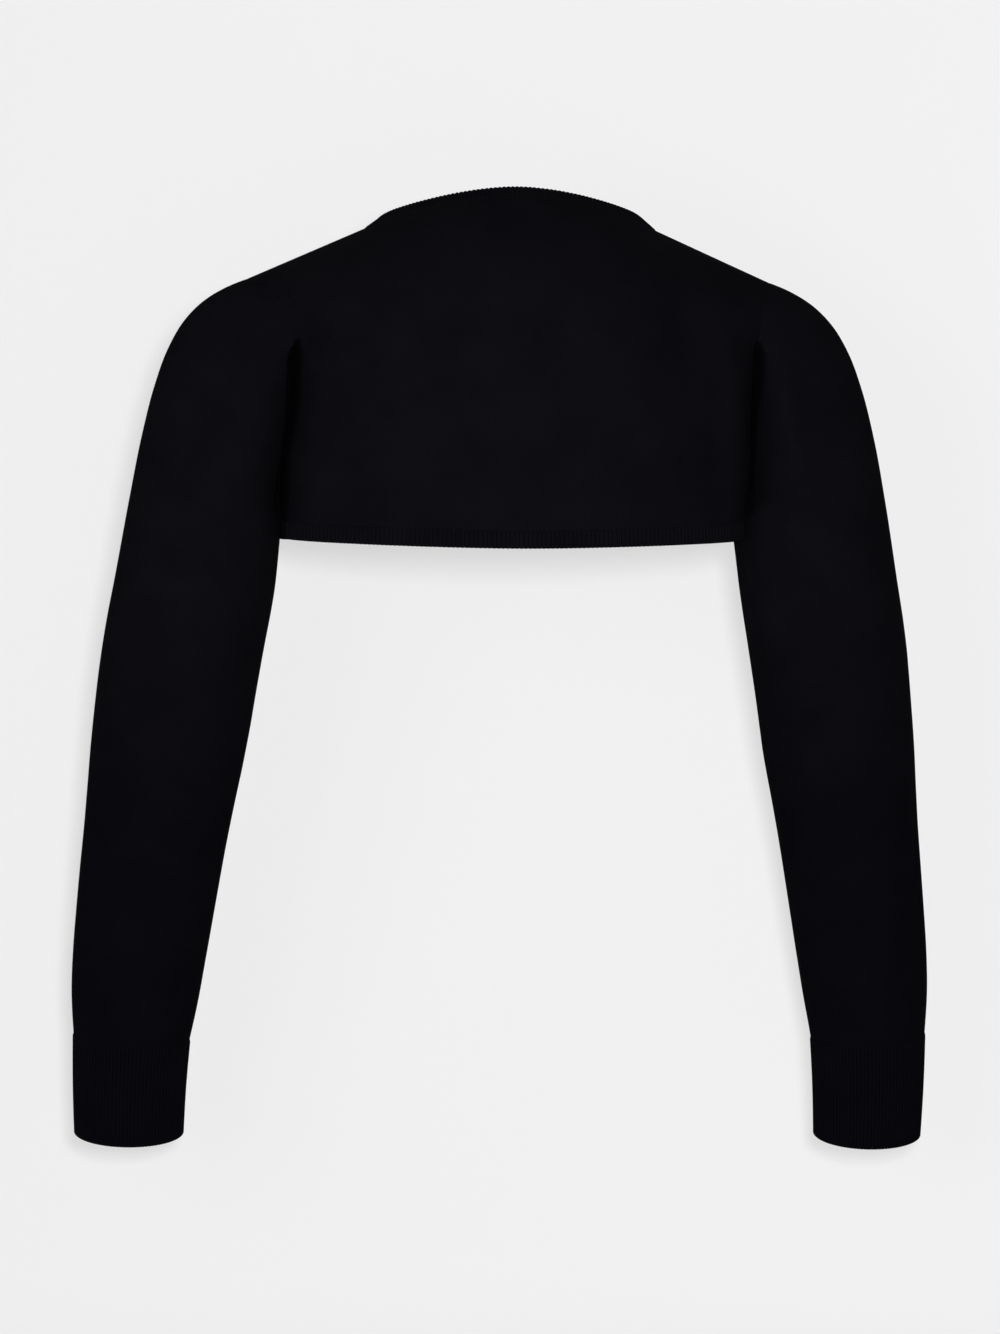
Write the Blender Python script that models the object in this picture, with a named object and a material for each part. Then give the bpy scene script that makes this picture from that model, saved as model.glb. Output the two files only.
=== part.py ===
"""A black knitted shrug in its worn, hollow form, in metres.

+Z is up, the wearer faces +Y and the wearer's right is +X. The origin lies
between the shoulders, level with the sides of the neck, where the wearer
carries the garment. The back, the fronts and the sleeves are thin walls laid
through sections, and the ribbed cuffs and edge bands are joined to their edges.
"""

import math

import bmesh
import bpy
import numpy as np

# Cloth and seams
KNIT_WALL = 0.0016
RIB_WALL = 0.0018
RIB_RISE = 0.0006
SEAM_GAP = 0.0003
CORNER_ROOM = 0.0001
BAND_WIDTH = 0.012
BAND_RIB_PITCH = 0.0030
CUFF_RIBS = 92

# Neckline and shoulders, along the seams
NECK_SIDE = 0.099
NECK_SIDE_RISE = -0.0098
NECK_SIDE_FORE = -0.012
NAPE_CURVE = 1.75
NAPE_ARC = math.radians(82)
SHOULDER_SLOPE = 0.43

# Hem, along the seam of its band
HEM_SIDE_RISE = -0.2057
HEM_SIDE_OUT = 0.1515
HEM_SIDE_FORE = 0.004
RISE_CURVE = 1.5

# How much flatter than an ellipse a panel lies before it turns to its side
FLATNESS = 1.2

# Grid of the cloth
AROUND_STEP = 15
NECK_COLUMNS = 7
SHOULDER_COLUMNS = 5
SIDE_SEAM_ROWS = 3
CAP_ROWS = 8
ARM_ROWS = 11
CUFF_ROWS = 2
CUFF_STATIONS_PER_INNER = 4
BAND_STATIONS_PER_INNER = 2
HEADING_STEP = 0.004

SIDES = {"left": -1, "right": 1}

BLACK_KNIT = {"colour": (0.011, 0.010, 0.013, 1.0), "roughness": 0.92}
BLACK_RIB = {"colour": (0.012, 0.011, 0.014, 1.0), "roughness": 0.88}


def table(columns, *rows):
    return dict(zip(columns.split(), np.array(rows, float).T))


# The middle of the back, from the neckline seam down to the hem seam.
MIDDLE_BACK = table(
    "rise    fore",
    (0.0087, -0.060),
    (-0.006, -0.078),
    (-0.030, -0.095),
    (-0.072, -0.106),
    (-0.120, -0.110),
    (-0.168, -0.108),
    (-0.2170, -0.103),
)

# The front edge seam, from the side of the neck to the rounded corner.
FRONT_EDGE = table(
    "share  out    fore    rise",
    (0.00, 0.099, -0.012, -0.0098),
    (0.16, 0.104, 0.026, -0.026),
    (0.34, 0.109, 0.058, -0.062),
    (0.55, 0.113, 0.078, -0.107),
    (0.76, 0.120, 0.084, -0.151),
    (0.90, 0.129, 0.079, -0.180),
    (1.00, 0.141, 0.065, -0.197),
)

# The armhole seam, from the shoulder (0) over the back (90) to the underarm (180)
# and up the front. lead is the way that the sleeve leaves the seam, and settle
# how long it stays with the line of the arm.
ARMHOLE = table(
    "around out    fore    rise    lead_out lead_fore lead_rise settle",
    (0, 0.1780, -0.002, -0.0440, 0.180, 0.000, -0.060, 0.43),
    (30, 0.1740, -0.026, -0.0530, 0.165, 0.000, -0.080, 0.39),
    (60, 0.1650, -0.043, -0.0750, 0.130, -0.035, -0.095, 0.30),
    (90, 0.1555, -0.041, -0.1040, 0.080, -0.130, -0.060, 0.18),
    (120, 0.1530, -0.027, -0.1440, 0.035, -0.110, -0.030, 0.12),
    (150, 0.1520, -0.009, -0.1760, 0.016, -0.060, -0.040, 0.08),
    (180, 0.1518, 0.007, -0.1890, 0.010, 0.000, -0.040, 0.07),
    (210, 0.1515, 0.023, -0.1800, 0.018, 0.040, -0.040, 0.08),
    (240, 0.1525, 0.040, -0.1510, 0.045, 0.090, -0.050, 0.11),
    (270, 0.1560, 0.050, -0.1110, 0.085, 0.090, -0.080, 0.16),
    (300, 0.1650, 0.043, -0.0770, 0.130, 0.020, -0.100, 0.30),
    (330, 0.1740, 0.024, -0.0540, 0.165, 0.000, -0.080, 0.39),
)

# How far the cloth of the panels has turned at the armhole, in degrees.
PANEL_TURN = table(
    "around back front",
    (0, 26, 26),
    (30, 34, 30),
    (60, 52, 40),
    (90, 76, 58),
    (120, 90, 74),
    (150, 96, 80),
    (180, 98, 82),
)

# Sections of the sleeve below its cap and of the cuff, square to the arm.
ARM = table(
    "drop    out     fore    half_width half_depth",
    (0.2557, 0.2142, 0.0040, 0.0541, 0.0470),
    (0.2897, 0.2203, 0.0100, 0.0543, 0.0465),
    (0.3509, 0.2293, 0.0200, 0.0529, 0.0450),
    (0.4126, 0.2380, 0.0280, 0.0492, 0.0425),
    (0.4747, 0.2462, 0.0350, 0.0466, 0.0405),
    (0.5165, 0.2511, 0.0405, 0.0444, 0.0385),
    (0.5400, 0.2532, 0.0440, 0.0424, 0.0365),
    (0.5586, 0.2545, 0.0470, 0.0397, 0.0325),
    (0.5900, 0.2556, 0.0545, 0.0384, 0.0315),
    (0.6262, 0.2558, 0.0640, 0.0370, 0.0305),
)
CUFF_SEAM = 0.5586

# How much further out and down the wearer's right cuff hangs than the left one.
HANG_START = 0.42
HANG_OUT = 0.0020
HANG_DROP = 0.0060

# Soft troughs in the sleeves, from one place to another; a ridge has depth < 0.
SLEEVE_FOLDS = table(
    "side from_around from_drop to_around to_drop width depth",
    (-1, 25, 0.105, 100, 0.190, 0.020, 0.0030),
    (-1, 100, 0.190, 150, 0.300, 0.018, 0.0022),
    (-1, 50, 0.330, 65, 0.520, 0.022, 0.0022),
    (1, 35, 0.110, 105, 0.200, 0.022, 0.0030),
    (1, 105, 0.200, 140, 0.320, 0.018, 0.0020),
    (1, 25, 0.400, 40, 0.530, 0.022, 0.0022),
    (-1, 230, 0.330, 310, 0.355, 0.014, 0.0028),
    (-1, 235, 0.375, 300, 0.365, 0.012, 0.0022),
    (1, 230, 0.335, 310, 0.350, 0.014, 0.0028),
    (1, 240, 0.372, 305, 0.380, 0.012, 0.0022),
)
FOLD_METRES_PER_DEGREE = 0.00087


def smooth(places, values, at):
    """Values at `at` on a smooth curve through the values at the places."""
    slopes = np.gradient(values, places)
    at = np.asarray(at, float)
    i = np.clip(np.searchsorted(places, at) - 1, 0, len(places) - 2)
    span = places[i + 1] - places[i]
    t = (at - places[i]) / span
    return (
        values[i] * (1 + 2 * t) * (1 - t) ** 2
        + values[i + 1] * t**2 * (3 - 2 * t)
        + span * slopes[i] * t * (1 - t) ** 2
        + span * slopes[i + 1] * t**2 * (t - 1)
    )


def read(rows, key, at, *columns):
    return np.stack([smooth(rows[key], rows[c], at) for c in columns], axis=-1)


def all_round(rows):
    """The table with its rows repeated a turn before and a turn after."""
    wide = {c: np.tile(v, 3) for c, v in rows.items()}
    turns = np.repeat([-360, 0, 360], len(rows["around"]))
    wide["around"] = wide["around"] + turns
    return wide


ARMHOLE_ROUND = all_round(ARMHOLE)


def unit(vectors):
    return vectors / np.linalg.norm(vectors, axis=-1, keepdims=True)


def armhole(around):
    """Points of the armhole seam, with X measured outwards from the middle."""
    return read(ARMHOLE_ROUND, "around", around, "out", "fore", "rise")


def side_edge(panel):
    """The panel's side edge: the armhole seam, then the side seam to the hem."""
    angles = np.arange(0, 181, AROUND_STEP)
    hole = armhole(angles if panel == "back" else 360 - angles)
    hem = np.array([HEM_SIDE_OUT, HEM_SIDE_FORE, HEM_SIDE_RISE])
    down = np.linspace(0, 1, SIDE_SEAM_ROWS + 1)[1:, None]
    return np.vstack([hole, hole[-1] + (hem - hole[-1]) * down])


def shares_along(points):
    steps = np.linalg.norm(np.diff(points, axis=0), axis=1)
    return np.concatenate([[0], np.cumsum(steps)]) / steps.sum()


def turns_down(panel):
    """The turn of each row of a panel towards its side edge, in radians."""
    angles = np.arange(0, 181, AROUND_STEP)
    turns = smooth(PANEL_TURN["around"], PANEL_TURN[panel], angles)
    return np.radians(np.concatenate([turns, np.full(SIDE_SEAM_ROWS, turns[-1])]))


def level(inner, edge, turn, shares):
    """A row of cloth that starts straight out at `inner` and turns into `edge`."""
    out = np.sin(turn * shares) / math.sin(turn)
    deep = ((1 - np.cos(turn * shares)) / (1 - math.cos(turn))) ** FLATNESS
    weights = np.stack([out, deep, shares**RISE_CURVE], axis=-1)
    return inner + (edge - inner) * weights


def top_line(out):
    """The neckline seam and the shoulder seam at distances from the middle."""
    nape_rise = MIDDLE_BACK["rise"][0] - NECK_SIDE_RISE
    nape_fore = MIDDLE_BACK["fore"][0] - NECK_SIDE_FORE
    r = np.clip(out / NECK_SIDE, 0, 1)
    arc = np.arcsin(r * math.sin(NAPE_ARC))
    round_neck = (np.cos(arc) - math.cos(NAPE_ARC)) / (1 - math.cos(NAPE_ARC))
    neck = NECK_SIDE_RISE + nape_rise * (1 - r**NAPE_CURVE)
    shoulder = NECK_SIDE_RISE - SHOULDER_SLOPE * (out - NECK_SIDE)
    past = np.clip((out - NECK_SIDE) / (ARMHOLE["out"][0] - NECK_SIDE), 0, 1)
    fore = NECK_SIDE_FORE + nape_fore * round_neck
    fore = fore + (ARMHOLE["fore"][0] - NECK_SIDE_FORE) * past
    return np.stack([out, fore, np.where(out < NECK_SIDE, neck, shoulder)], axis=-1)


def worked_in(rows, first_row, shares):
    """Rows of cloth with the shape of the first row worked in over the top."""
    change = first_row - rows[0]
    return rows + change[None] * ((1 - shares) ** 3)[:, None, None]


def back_half():
    """The right half of the back, from its middle to the armhole."""
    edge = side_edge("back")
    shares = shares_along(edge)
    turns = turns_down("back")
    rise = MIDDLE_BACK["rise"]
    rises = rise[0] + (rise[-1] - rise[0]) * shares
    fores = smooth(rise[::-1], MIDDLE_BACK["fore"][::-1], rises)
    middle = np.stack([np.zeros_like(rises), fores, rises], axis=-1)
    # One column lies on the side of the neck, where neckline and shoulder meet.
    arcs = np.linspace(0, NAPE_ARC, NECK_COLUMNS + 1)
    neck_outs = NECK_SIDE * np.sin(arcs) / math.sin(NAPE_ARC)
    neck = np.arcsin(neck_outs / edge[0, 0] * math.sin(turns[0])) / turns[0]
    across = np.concatenate([neck, np.linspace(neck[-1], 1, SHOULDER_COLUMNS + 1)[1:]])
    rows = np.array([level(m, e, t, across) for m, e, t in zip(middle, edge, turns)])
    return worked_in(rows, top_line(rows[0, :, 0]), shares)


def mirrored(points, side):
    return points * np.array([SIDES[side], 1, 1])


def back_panel():
    half = back_half()
    return np.concatenate([mirrored(half, "left")[:, ::-1], half[:, 1:]], axis=1)


def front_panel():
    """The right front, from its edge band to the armhole."""
    edge = side_edge("front")
    shares = shares_along(edge)
    turns = turns_down("front")
    inner = read(FRONT_EDGE, "share", shares, "out", "fore", "rise")
    shoulder = back_half()[0, NECK_COLUMNS:]
    across = (shoulder[:, 0] - shoulder[0, 0]) / (shoulder[-1, 0] - shoulder[0, 0])
    rows = np.array([level(i, e, t, across) for i, e, t in zip(inner, edge, turns)])
    return worked_in(rows, shoulder, shares)


def arm_axis(drops):
    out, fore = np.moveaxis(read(ARM, "drop", drops, "out", "fore"), -1, 0)
    return np.stack([out, fore, -drops], axis=-1)


def hung(points, side):
    """The points of an arm, eased out and down towards the cuff on the right side."""
    if side == "left":
        return points
    share = (-points[..., 2:] - HANG_START) / (ARM["drop"][-1] - HANG_START)
    return points + np.clip(share, 0, None) ** 2 * np.array([HANG_OUT, 0, -HANG_DROP])


def arm_heading(drops):
    low = np.clip(drops - HEADING_STEP, ARM["drop"][0], None)
    high = np.clip(drops + HEADING_STEP, None, ARM["drop"][-1])
    return unit(arm_axis(high) - arm_axis(low))


def arm_rings(drops, angles):
    """Rings of the right arm at the drops, each square to its heading there."""
    heading = arm_heading(drops)
    outward = unit(np.array([1.0, 0.0, 0.0]) - heading * heading[:, :1])
    back = np.cross(heading, outward)
    wide, deep = np.moveaxis(read(ARM, "drop", drops, "half_width", "half_depth"), -1, 0)
    a = np.radians(angles)[None, :, None]
    round_arm = wide[:, None, None] * outward[:, None] * np.cos(a)
    round_arm = round_arm + deep[:, None, None] * back[:, None] * np.sin(a)
    return arm_axis(drops)[:, None] + round_arm


def cap_rings(angles, first_ring, heading):
    """The sleeve cap: each column leaves the armhole seam and bends down the arm."""
    start = armhole(angles)
    lead = read(ARMHOLE_ROUND, "around", angles, "lead_out", "lead_fore", "lead_rise")
    settle = smooth(ARMHOLE_ROUND["around"], ARMHOLE_ROUND["settle"], angles)
    end = heading * settle[:, None]
    t = (np.linspace(0, 1, CAP_ROWS + 1)[:-1] ** 1.15)[:, None, None]
    return (
        start * (1 + 2 * t) * (1 - t) ** 2
        + first_ring * t**2 * (3 - 2 * t)
        + lead * t * (1 - t) ** 2
        + end * t**2 * (t - 1)
    )


def fold_depths(points, angles, side):
    """How far the troughs of a sleeve press each of its points inwards."""
    across = np.broadcast_to(angles * FOLD_METRES_PER_DEGREE, points.shape[:2])
    places = np.stack([across, -points[..., 2]], axis=-1)
    depths = np.zeros(points.shape[:2])
    for i in np.flatnonzero(SLEEVE_FOLDS["side"] == SIDES[side]):
        fold = {c: v[i] for c, v in SLEEVE_FOLDS.items()}
        start = np.array([fold["from_around"] * FOLD_METRES_PER_DEGREE, fold["from_drop"]])
        end = np.array([fold["to_around"] * FOLD_METRES_PER_DEGREE, fold["to_drop"]])
        run = end - start
        t = np.clip((places - start) @ run / (run @ run), 0, 1)
        away = np.linalg.norm(places - start - t[..., None] * run, axis=-1)
        taper = np.sin(np.pi * (0.12 + 0.76 * t))
        depths += fold["depth"] * taper * np.exp(-((away / fold["width"]) ** 2))
    return depths


def sleeve_tube(side):
    """A sleeve from the armhole seam to the cuff seam, laid on the right side."""
    angles = np.arange(0, 360, AROUND_STEP)
    drops = np.linspace(ARM["drop"][0], CUFF_SEAM, ARM_ROWS + 1)
    arm = arm_rings(drops, angles)
    tube = np.concatenate([cap_rings(angles, arm[0], arm_heading(drops[:1])), arm])
    depths = fold_depths(tube, angles, side)
    depths[0] = 0
    depths[-1] = 0
    return hung(tube - tube_normals(tube) * depths[..., None], side)


def square_to(directions, heading):
    return unit(directions - heading * (directions @ heading)[..., None])


def surface_normals(grid, closed=False):
    """Unit normals of a grid of points whose rows run down and columns across."""
    if closed:
        along = np.roll(grid, -1, axis=1) - np.roll(grid, 1, axis=1)
    else:
        along = np.gradient(grid, axis=1)
    down = np.gradient(grid, axis=0)
    return unit(np.cross(down, along))


def front_normals(front, side):
    """Outward normals of a front, on its own side."""
    return mirrored(-surface_normals(front), side)


def tube_normals(tube):
    return -surface_normals(tube, closed=True)


class Seams:
    """Normals that pieces share along their seams, so that their walls line up."""

    FLAT = math.cos(math.radians(42))

    def __init__(self):
        self.sums = {}

    @staticmethod
    def key(point):
        return tuple(np.round(point * 1e5).astype(int))

    def add(self, points, normals):
        for point, normal in zip(points.reshape(-1, 3), normals.reshape(-1, 3)):
            key = self.key(point)
            self.sums[key] = self.sums.get(key, 0) + normal

    def settled(self, points, normals):
        out = normals.reshape(-1, 3).copy()
        for i, point in enumerate(points.reshape(-1, 3)):
            shared = unit(self.sums[self.key(point)])
            if shared @ out[i] > self.FLAT:
                out[i] = shared
        return out.reshape(normals.shape)


def drawn_back(grid, closed):
    """The grid with its edges drawn back by half a seam gap."""
    grid = grid.copy()
    half = SEAM_GAP / 2
    for edge, near in ((0, 1), (-1, -2)):
        grid[edge] += unit(grid[near] - grid[edge]) * half
    if not closed:
        for edge, near in ((0, 1), (-1, -2)):
            grid[:, edge] += unit(grid[:, near] - grid[:, edge]) * half
    return grid


def material(name, look):
    made = bpy.data.materials.new(name)
    made.use_nodes = True
    shader = made.node_tree.nodes["Principled BSDF"]
    shader.inputs["Base Color"].default_value = look["colour"]
    shader.inputs["Roughness"].default_value = look["roughness"]
    shader.inputs["Metallic"].default_value = 0.0
    return made


def add_solid(name, points, faces, finish):
    """A closed solid whose faces are turned to point out."""
    mesh = bpy.data.meshes.new(name)
    mesh.from_pydata([tuple(map(float, p)) for p in points], [], faces)
    mesh.validate()
    shell = bmesh.new()
    shell.from_mesh(mesh)
    bmesh.ops.recalc_face_normals(shell, faces=shell.faces)
    shell.to_mesh(mesh)
    shell.free()
    mesh.shade_smooth()
    mesh.set_sharp_from_angle(angle=math.radians(50))
    mesh.materials.append(finish)
    made = bpy.data.objects.new(name, mesh)
    bpy.context.scene.collection.objects.link(made)
    return made


def wall_faces(rows, columns, closed, step=1):
    """Faces of a wall: a grid outside and a grid inside with 1 / step its columns."""
    inner_columns = columns // step + (0 if closed else 1)
    if step == 1:
        inner_columns = columns
    start = rows * columns

    def outer(r, c):
        return r * columns + c % columns

    def inner(r, c):
        return start + r * inner_columns + c % inner_columns

    faces = []
    for r in range(rows - 1):
        for c in range(columns if closed else columns - 1):
            faces.append((outer(r, c), outer(r, c + 1), outer(r + 1, c + 1), outer(r + 1, c)))
        for c in range(inner_columns if closed else inner_columns - 1):
            faces.append((inner(r, c), inner(r + 1, c), inner(r + 1, c + 1), inner(r, c + 1)))
    for r in (0, rows - 1):
        for c in range(inner_columns if closed else inner_columns - 1):
            near, far = inner(r, c), inner(r, c + 1)
            if step == 1:
                faces.append((outer(r, c), near, far, outer(r, c + 1)))
                continue
            first, half = c * step, step // 2
            faces += [(outer(r, first + k), near, outer(r, first + k + 1)) for k in range(half)]
            faces.append((outer(r, first + half), near, far))
            faces += [
                (outer(r, first + k), far, outer(r, first + k + 1))
                for k in range(half, step)
            ]
    if not closed:
        for r in range(rows - 1):
            faces.append((outer(r, 0), outer(r + 1, 0), inner(r + 1, 0), inner(r, 0)))
            a, b = columns - 1, inner_columns - 1
            faces.append((outer(r, a), inner(r, b), inner(r + 1, b), outer(r + 1, a)))
    return faces


def knit_wall(name, grid, normals, closed, finish):
    outer = drawn_back(grid, closed)
    if closed:
        outer[0, :, 0] += SEAM_GAP * np.sign(outer[0, :, 0])
    inner = outer - normals * KNIT_WALL
    points = np.concatenate([outer.reshape(-1, 3), inner.reshape(-1, 3)])
    faces = wall_faces(grid.shape[0], grid.shape[1], closed)
    return add_solid(name, points, faces, finish)


def ribbed_wall(name, plain, normals, step, closed, finish):
    """A wall with every other outer column raised over a plain inside."""
    raised = RIB_RISE * (np.arange(plain.shape[1]) % 2)
    outer = plain + normals * raised[None, :, None]
    inner = (plain - normals * RIB_WALL)[:, ::step]
    points = np.concatenate([outer.reshape(-1, 3), inner.reshape(-1, 3)])
    faces = wall_faces(outer.shape[0], outer.shape[1], closed, step)
    return add_solid(name, points, faces, finish)


def cuff(side, finish):
    """A ribbed tube: raised ribs outside, plain inside."""
    stations = CUFF_RIBS * 2
    drops = np.linspace(CUFF_SEAM, ARM["drop"][-1], CUFF_ROWS + 1)
    heading = arm_heading(drops)
    plain = arm_rings(drops, np.arange(stations) * 360 / stations)
    plain[0] += heading[0] * SEAM_GAP / 2
    plain = hung(plain, side)
    normals = tube_normals(plain)
    normals[0] = square_to(normals[0], heading[0])
    plain, normals = mirrored(plain, side), mirrored(normals, side)
    ribbed_wall(f"cuff_{side}", plain, normals, CUFF_STATIONS_PER_INNER, True, finish)


def edge_runs(back, front, seams):
    """Four runs of the edge seam: points, normals and where each run bends."""
    middle = back.shape[1] // 2
    nape = slice(middle - NECK_COLUMNS, middle + NECK_COLUMNS + 1)
    back_normals = seams.settled(back, surface_normals(back))
    runs = {"neckband": (back[0, nape], back_normals[0, nape], NECK_COLUMNS)}
    edges = {}
    for side in SIDES:
        grid = mirrored(front, side)
        normals = seams.settled(grid, front_normals(front, side))
        edges[side] = [
            np.concatenate([values[:, 0], values[-1, 1:]]) for values in (grid, normals)
        ]
    corner = len(front) - 1
    runs["front_band_right"] = (*edges["right"], corner)
    runs["hem_band"] = (back[-1, ::-1], back_normals[-1, ::-1], middle)
    left = [values[::-1] for values in edges["left"]]
    runs["front_band_left"] = (*left, len(left[0]) - 1 - corner)
    return runs


def band_stations(run, bend):
    """Shares of a run, in even steps on each side of the point where it bends."""
    shares = shares_along(run)
    length = np.linalg.norm(np.diff(run, axis=0), axis=1).sum()
    trim = SEAM_GAP / 2 / length
    inner_step = BAND_RIB_PITCH / 2 * BAND_STATIONS_PER_INNER / length
    ends = ((trim, shares[bend]), (shares[bend], 1 - trim))
    parts = []
    for start, end in ends:
        count = round((end - start) / inner_step) * BAND_STATIONS_PER_INNER
        parts.append(np.linspace(start, end, count + 1))
    return np.concatenate([parts[0], parts[1][1:]])


def eased(values, times):
    for _ in range(times):
        values = unit(np.roll(values, 1, axis=0) + 2 * values + np.roll(values, -1, axis=0))
    return values


def edge_bands(back, front, seams, finish):
    """Four ribbed bands that run along the edge seam and stand out from it."""
    runs = edge_runs(back, front, seams)
    points = np.concatenate([p[:-1] for p, _, _ in runs.values()])
    normals = np.concatenate([n[:-1] for _, n, _ in runs.values()])
    tangents = unit(np.roll(points, -1, axis=0) - np.roll(points, 1, axis=0))
    outwards = eased(unit(np.cross(normals, tangents)), 2)
    free_normals = eased(normals, 3)
    start = 0
    for name, (run, _, bend) in runs.items():
        i = np.arange(start, start + len(run)) % len(points)
        start += len(run) - 1
        at = band_stations(run, bend)
        shares = shares_along(run)
        line, seam_up, free_up, out = (
            np.stack([np.interp(at, shares, v[i][:, k]) for k in range(3)], axis=-1)
            for v in (points, normals, free_normals, outwards)
        )
        edges = (SEAM_GAP / 2 + CORNER_ROOM, BAND_WIDTH)
        plain = np.stack([line + unit(out) * across for across in edges])
        up = np.stack([unit(seam_up), unit(free_up)])
        ribbed_wall(name, plain, up, BAND_STATIONS_PER_INNER, False, finish)


def main():
    for old in list(bpy.data.objects):
        bpy.data.objects.remove(old)
    knit = material("black_knit", BLACK_KNIT)
    rib = material("black_rib", BLACK_RIB)

    back = back_panel()
    front = front_panel()
    wrist = arm_heading(np.array([CUFF_SEAM]))[0]

    pieces = [("back", back, surface_normals(back), False)]
    for side in SIDES:
        pieces.append((f"front_{side}", mirrored(front, side), front_normals(front, side), False))
        tube = sleeve_tube(side)
        outward = tube_normals(tube)
        outward[-1] = square_to(outward[-1], wrist)
        pieces.append((f"sleeve_{side}", mirrored(tube, side), mirrored(outward, side), True))

    seams = Seams()
    for _, grid, normals, _ in pieces:
        seams.add(grid, normals)
    for name, grid, normals, closed in pieces:
        knit_wall(name, grid, seams.settled(grid, normals), closed, knit)
    for side in SIDES:
        cuff(side, rib)
    edge_bands(back, front, seams, rib)


main()
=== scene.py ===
# A black knitted shrug in its worn, hollow form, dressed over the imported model.
# Each wall of the model is read as a grid of points, and finer cloth is laid through the same points.

import math

import bmesh
import bpy
import numpy as np
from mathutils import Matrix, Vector


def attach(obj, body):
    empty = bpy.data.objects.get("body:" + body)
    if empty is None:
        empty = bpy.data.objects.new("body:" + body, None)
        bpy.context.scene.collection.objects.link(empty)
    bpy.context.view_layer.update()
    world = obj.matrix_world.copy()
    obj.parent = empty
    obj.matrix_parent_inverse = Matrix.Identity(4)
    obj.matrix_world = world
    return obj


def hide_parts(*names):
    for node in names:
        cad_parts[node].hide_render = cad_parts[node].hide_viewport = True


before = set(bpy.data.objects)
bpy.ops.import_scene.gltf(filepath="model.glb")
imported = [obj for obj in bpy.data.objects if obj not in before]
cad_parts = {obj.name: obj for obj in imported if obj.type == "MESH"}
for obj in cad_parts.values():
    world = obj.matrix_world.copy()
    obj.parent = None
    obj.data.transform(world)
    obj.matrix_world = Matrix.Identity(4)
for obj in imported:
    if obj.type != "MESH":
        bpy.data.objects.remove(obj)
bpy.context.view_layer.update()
bpy.ops.object.select_all(action="DESELECT")

sides = {"left": -1, "right": 1}

# What all the cloth shares.
cloth = {
    "knitWall": 0.0016,
    "ribWall": 0.0018,
    "wale": 0.0015,  # width of a column of loops in the plain knit
    "course": 0.0011,  # height of a loop
    "seamReach": 0.00014,  # how far each edge reaches into its seam
    "turnPlaces": (0.0003, 0.0007),  # lines of points close to an edge, from the edge
    "turnDrops": (0.00008, 0.00002),  # how far the edge, and the first line, turn in
    "sharpAngle": math.radians(48),  # bends past it are shaded as edges
    "creaseEnd": 0.1,  # the part of a crease's wave that each of its ends leaves out
    "creaseFree": 0.012,  # how far from a panel's edges its creases have their full depth
}


# Reading the model's walls as grids

reading = {
    "mergeDistance": 0.00001,
    "rimAngle": math.radians(60),  # the two skins of a wall part from its rims at such edges
}


def nodeSkin(nodeName, insideSkin):
    # One side of a node's wall as quads: sharp edges part the two skins from the rims.
    shell = bmesh.new()
    shell.from_mesh(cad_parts[nodeName].data)
    bmesh.ops.remove_doubles(shell, verts=shell.verts, dist=reading["mergeDistance"])
    bmesh.ops.join_triangles(
        shell,
        faces=shell.faces,
        angle_face_threshold=math.pi,
        angle_shape_threshold=math.pi,
        topology_influence=1.0,
    )
    waiting = set(shell.faces)
    groups = []
    while waiting:
        reached = [waiting.pop()]
        for face in reached:
            for edge in face.edges:
                if edge.calc_face_angle(0) > reading["rimAngle"]:
                    continue
                found = [f for f in edge.link_faces if f in waiting]
                waiting.difference_update(found)
                reached.extend(found)
        groups.append(reached)
    # The outer skin is the largest group. The inside of a rib is plain, so its faces are the largest.
    totals = [sum(f.calc_area() for f in faces) for faces in groups]
    ranks = [total / len(faces) for total, faces in zip(totals, groups)] if insideSkin else totals
    chosen = set(groups[ranks.index(max(ranks))])
    away = [f for f in shell.faces if f not in chosen]
    bmesh.ops.delete(shell, geom=away, context="FACES")
    return shell


def nodeGrid(nodeName, startNear, toward, insideSkin=False):
    # Rows of points of one skin, from the corner nearest a point, the first row running a given way.
    shell = nodeSkin(nodeName, insideSkin)
    edgePoints = [v for v in shell.verts if v.is_boundary]
    corners = [v for v in edgePoints if len(v.link_edges) == 2] or edgePoints
    first = min(corners, key=lambda v: (v.co - Vector(startNear)).length)

    def nextOnEdge(vertex):
        return [e.other_vert(vertex) for e in vertex.link_edges if e.is_boundary]

    second = max(nextOnEdge(first), key=lambda v: (v.co - first.co).normalized().dot(toward))
    row = [first, second]
    while len(row[-1].link_edges) > 2:
        ahead = [v for v in nextOnEdge(row[-1]) if v is not row[-2]][0]
        if ahead is first:
            break
        row.append(ahead)
    rows, used = [row], set(row)
    while True:
        below = []
        for vertex in rows[-1]:
            near = [e.other_vert(vertex) for e in vertex.link_edges]
            near = [v for v in near if v not in used and v not in below]
            # Where a pair of triangles stayed, a second point is near, which isn't next in the row.
            if below:
                near.sort(key=lambda v: below[-1] not in [e.other_vert(v) for e in v.link_edges])
            else:
                near.sort(key=lambda v: not v.is_boundary)
            below += near[:1]
        if len(below) < len(row):
            break
        used.update(below)
        rows.append(below)
    points = np.array([[v.co for v in line] for line in rows])
    normals = np.array([[v.normal for v in line] for line in rows])
    shell.free()
    return points, -normals if insideSkin else normals


# Smooth curves and surfaces through the model's points


def lengths(vectors):
    return np.linalg.norm(vectors, axis=-1)


def unit(vectors):
    return vectors / lengths(vectors)[..., None]


def risen(values, start, full):
    # 0 up to start and 1 from full on, eased at both.
    share = np.clip((values - start) / (full - start), 0, 1)
    return share * share * (3 - 2 * share)


def lengthsAlong(points):
    # The length from the first point of a line, or of each column of a grid, to its other points.
    steps = lengths(np.diff(points, axis=0))
    return np.concatenate([np.zeros_like(steps[:1]), np.cumsum(steps, axis=0)])


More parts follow.
